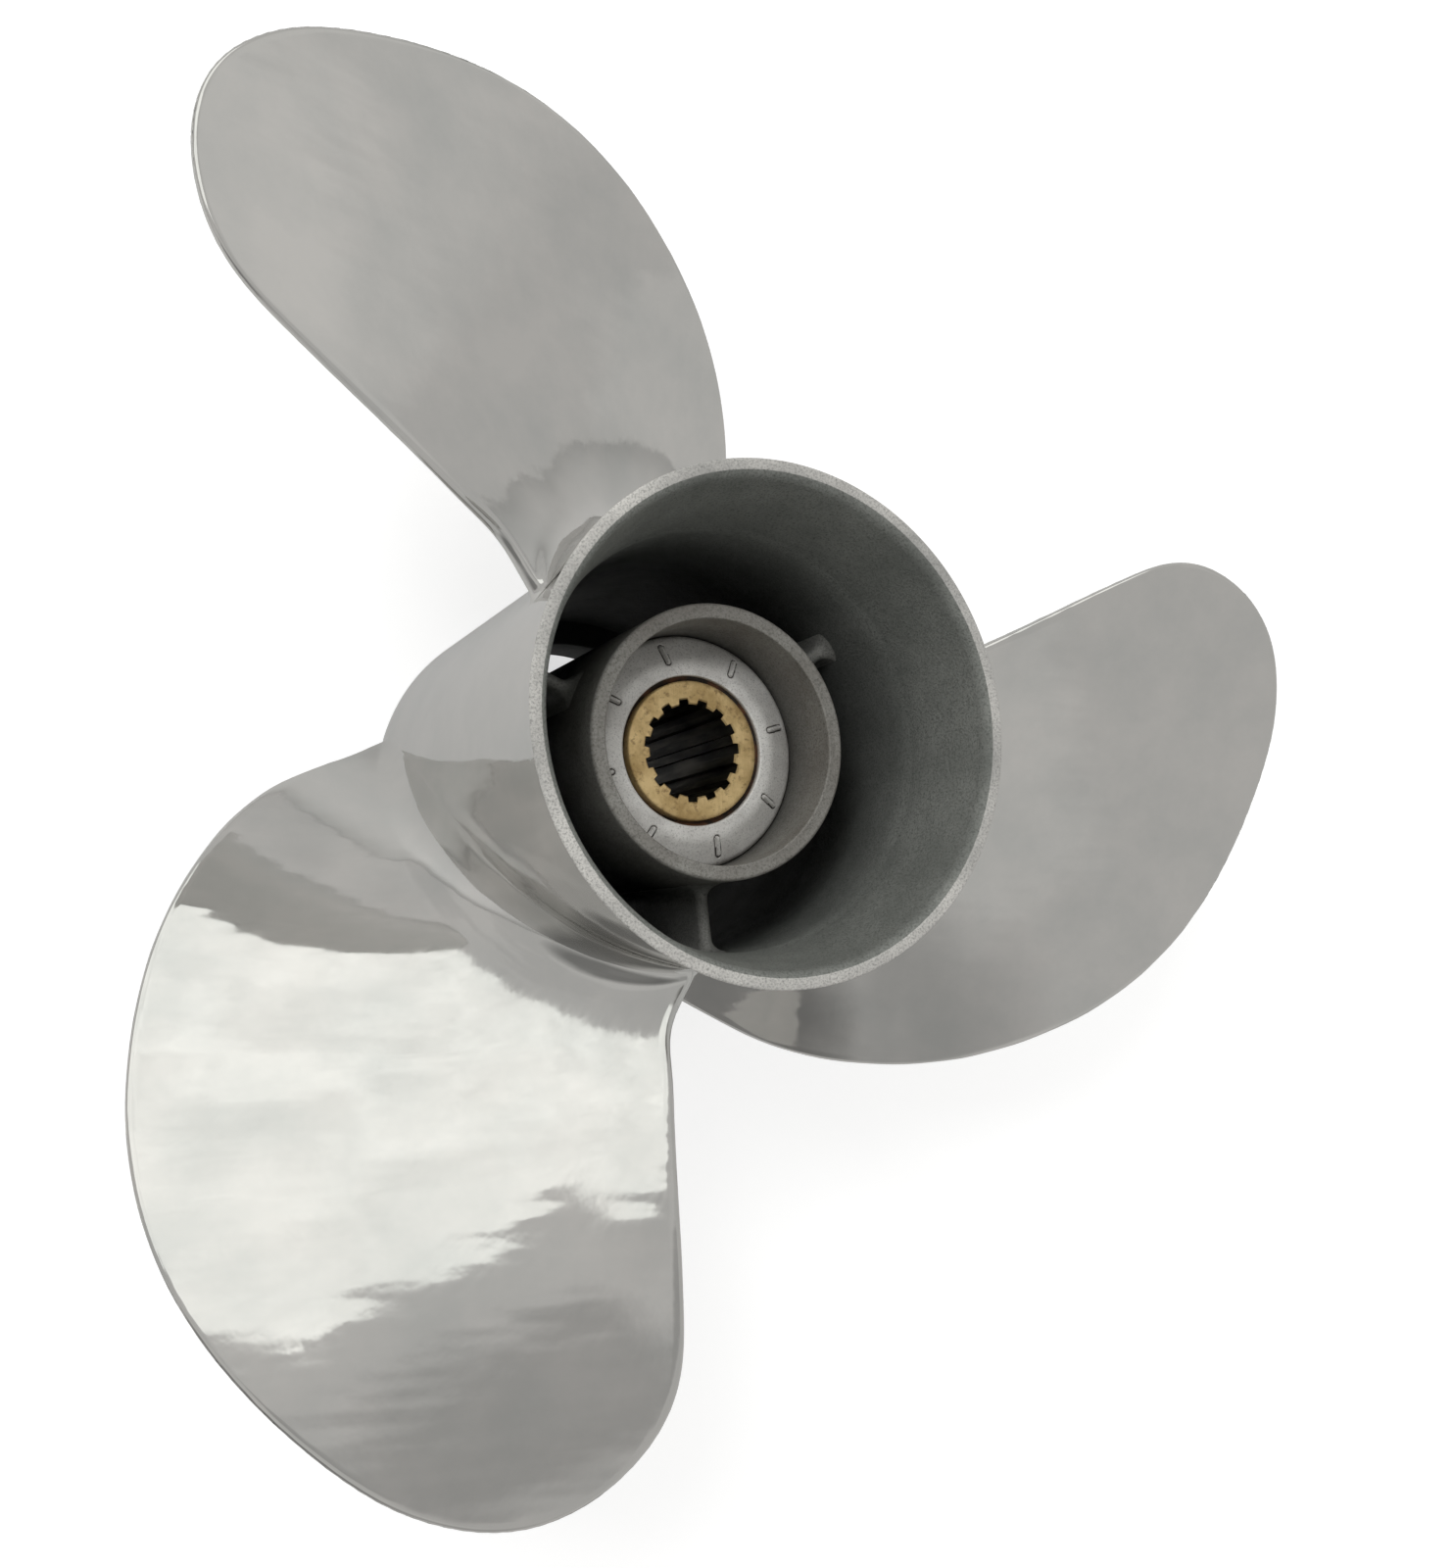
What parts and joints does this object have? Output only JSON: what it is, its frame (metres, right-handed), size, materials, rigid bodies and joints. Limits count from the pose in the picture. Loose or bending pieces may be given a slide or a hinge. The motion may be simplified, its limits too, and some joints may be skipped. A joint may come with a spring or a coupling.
{
  "type": "boat propeller",
  "caption": "Right-hand stainless boat propeller with swept, raked blades on a through-hub exhaust barrel, and a splined brass sleeve in a rubber-cushioned inner hub.",
  "frame": {"origin": "on the shaft axis, in the plane of the hub's front ring", "axes": "+Z along the shaft axis, aft towards the flared exhaust rim; +X along the first blade's generator line; +Y completes the right hand"},
  "size_m": [0.3017, 0.3268, 0.1474],
  "materials": {
    "polished_steel": "polished stainless casting with faint buffing waviness, near-mirror",
    "blasted_steel": "matte bead-blasted stainless, slightly stained",
    "plated_steel": "satin zinc-plated stamped steel",
    "bush_rubber": "matt black rubber",
    "sleeve_brass": "satin machined brass with brown stains"
  },
  "bodies": {
    "casting": {"hub_shell": "polished_steel", "inner_barrel": "blasted_steel", "exhaust_rib_1": "blasted_steel", "exhaust_rib_2": "blasted_steel", "exhaust_rib_3": "blasted_steel", "blade_1": "polished_steel", "blade_2": "polished_steel", "blade_3": "polished_steel", "rubber_bush": "bush_rubber", "end_plate": "plated_steel"},
    "drive_sleeve": {"brass_sleeve": "sleeve_brass"}
  },
  "joints": [
    {"name": "hub_windup", "type": "hinge", "parent": "casting", "child": "drive_sleeve", "pos_m": [0, 0, 0.0625], "axis": [0, 0, 1], "range_deg": [-8, 8], "stiffness_Nm_per_rad": 1500}
  ]
}
